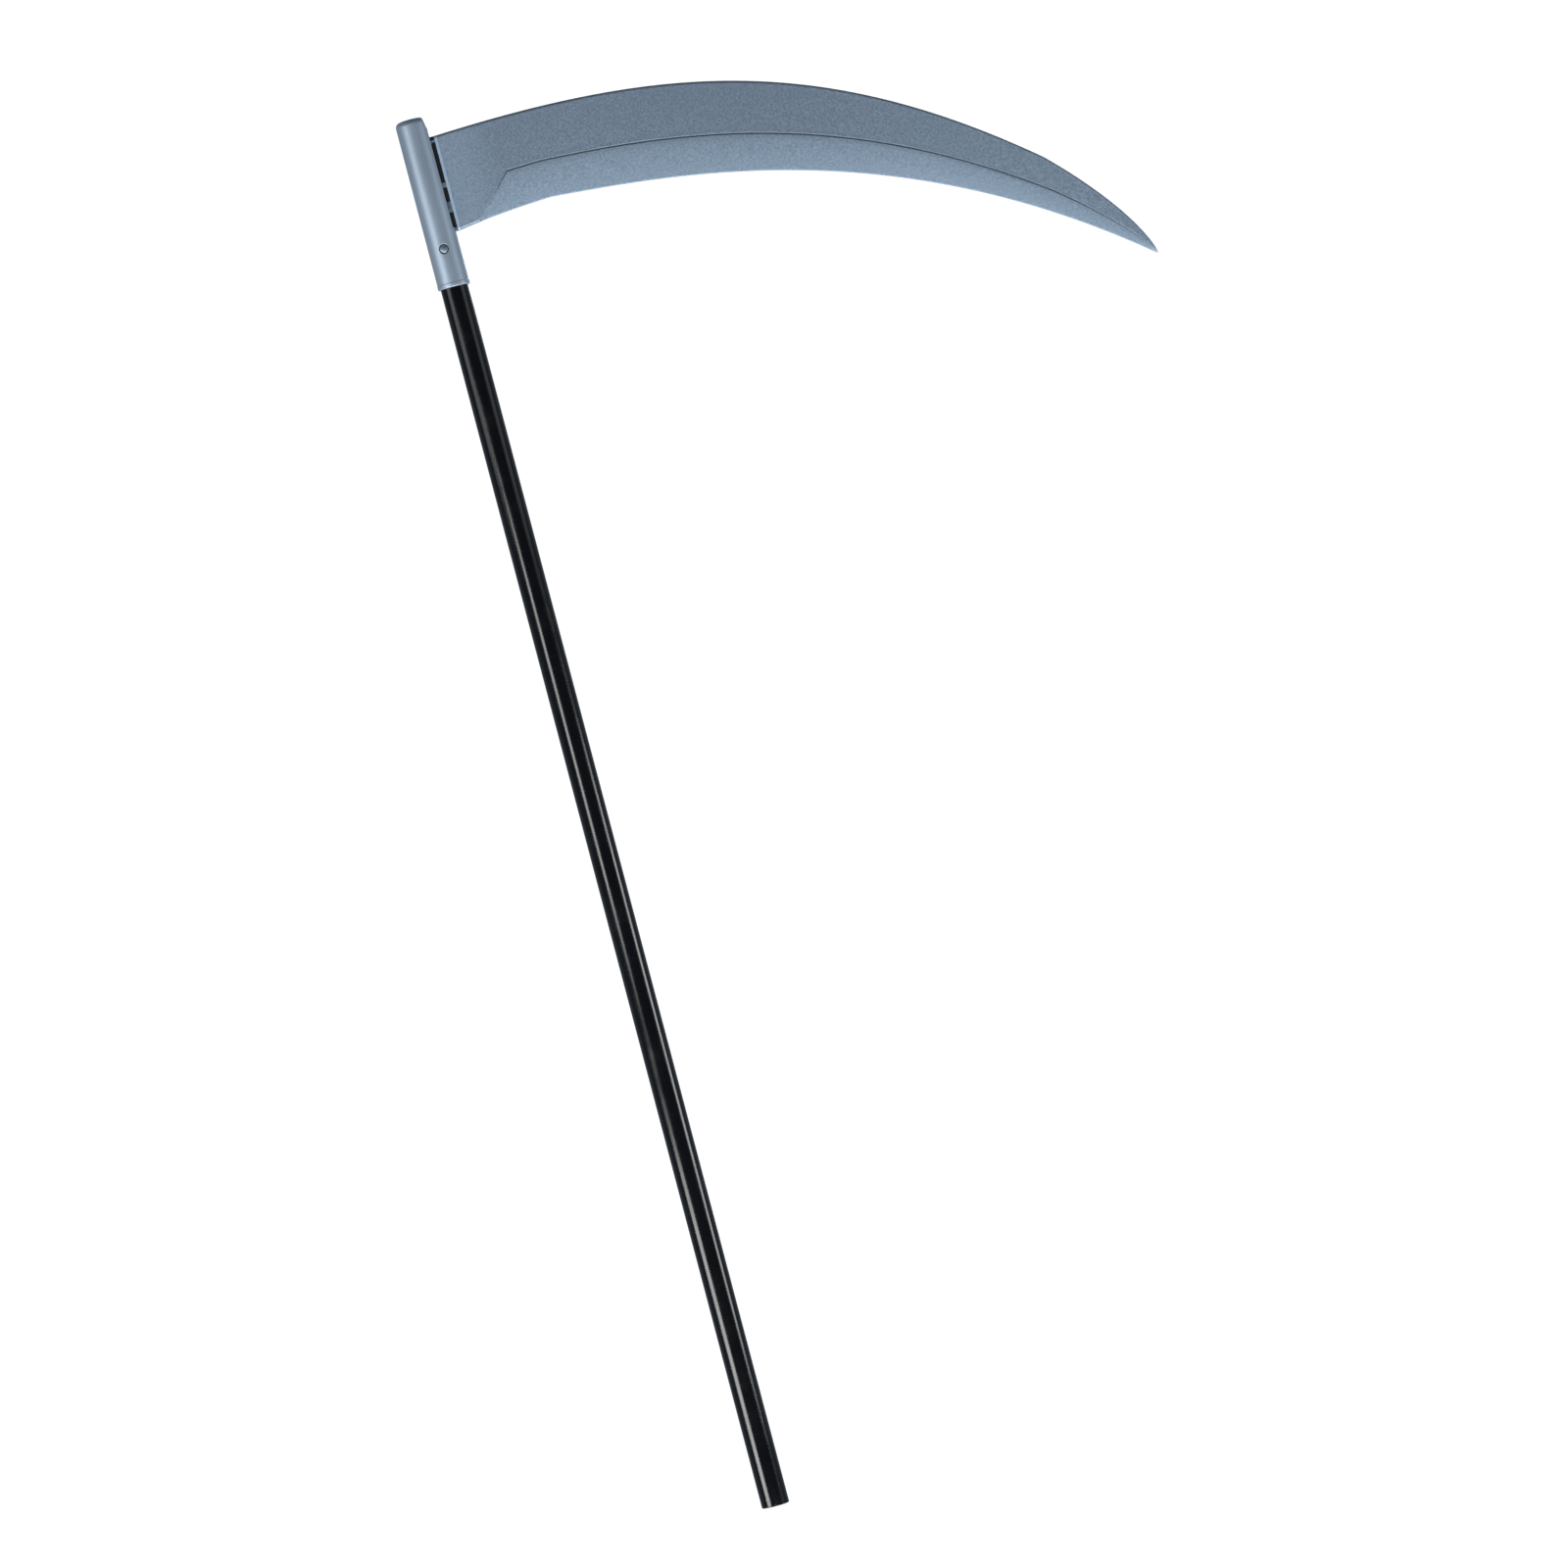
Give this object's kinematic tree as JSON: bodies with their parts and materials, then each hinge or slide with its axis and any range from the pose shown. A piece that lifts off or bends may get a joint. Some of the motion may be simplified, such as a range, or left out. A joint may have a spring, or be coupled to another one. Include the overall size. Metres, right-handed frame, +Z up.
{
  "type": "scythe",
  "caption": "Lightweight plastic costume scythe: a hollow silver crescent blade in a round socket on a black tube pole that pulls apart in sections, with a snap button at the head.",
  "frame": {"origin": "centre of the pole's foot, on the pole's axis", "axes": "+Z up the pole to the head, +X from the pole towards the tip of the blade, -Y out of the front, where the snap button is"},
  "size_m": [0.5258, 0.0246, 1.067],
  "materials": {
    "pole_black": "gloss extruded tube",
    "head_silver": "satin silver paint on moulded plastic",
    "blade_silver": "fine-grained satin silver",
    "carrier_black": "moulded, matte",
    "coupler_white": "extruded tube",
    "steel": "zinc plated",
    "spring_steel": "cold rolled strip"
  },
  "bodies": {
    "lower_section": {"pole_lower": "pole_black", "foot_plug": "pole_black", "coupler_lower": "coupler_white"},
    "middle_section": {"pole_middle": "pole_black", "coupler_upper": "coupler_white"},
    "head_section": {"pole_upper": "pole_black", "snap_spring": "spring_steel", "socket": "head_silver", "socket_cap": "head_silver", "blade_carrier": "carrier_black", "carrier_screws": "steel", "blade_front": "blade_silver", "blade_back": "blade_silver", "blade_screws": "steel"},
    "button": {"snap_button": "steel"}
  },
  "joints": [
    {"name": "middle_lift", "type": "slide", "parent": "lower_section", "child": "middle_section", "axis": [0, 0, 1], "range_m": [0, 0.055]},
    {"name": "upper_lift", "type": "slide", "parent": "middle_section", "child": "head_section", "axis": [0, 0, 1], "range_m": [0, 0.055]},
    {"name": "button_press", "type": "slide", "parent": "head_section", "child": "button", "axis": [0, 1, 0], "range_m": [0, 0.0022], "stiffness_N_per_m": 1500, "springref_m": -0.0015, "deforming": ["snap_spring"]}
  ]
}
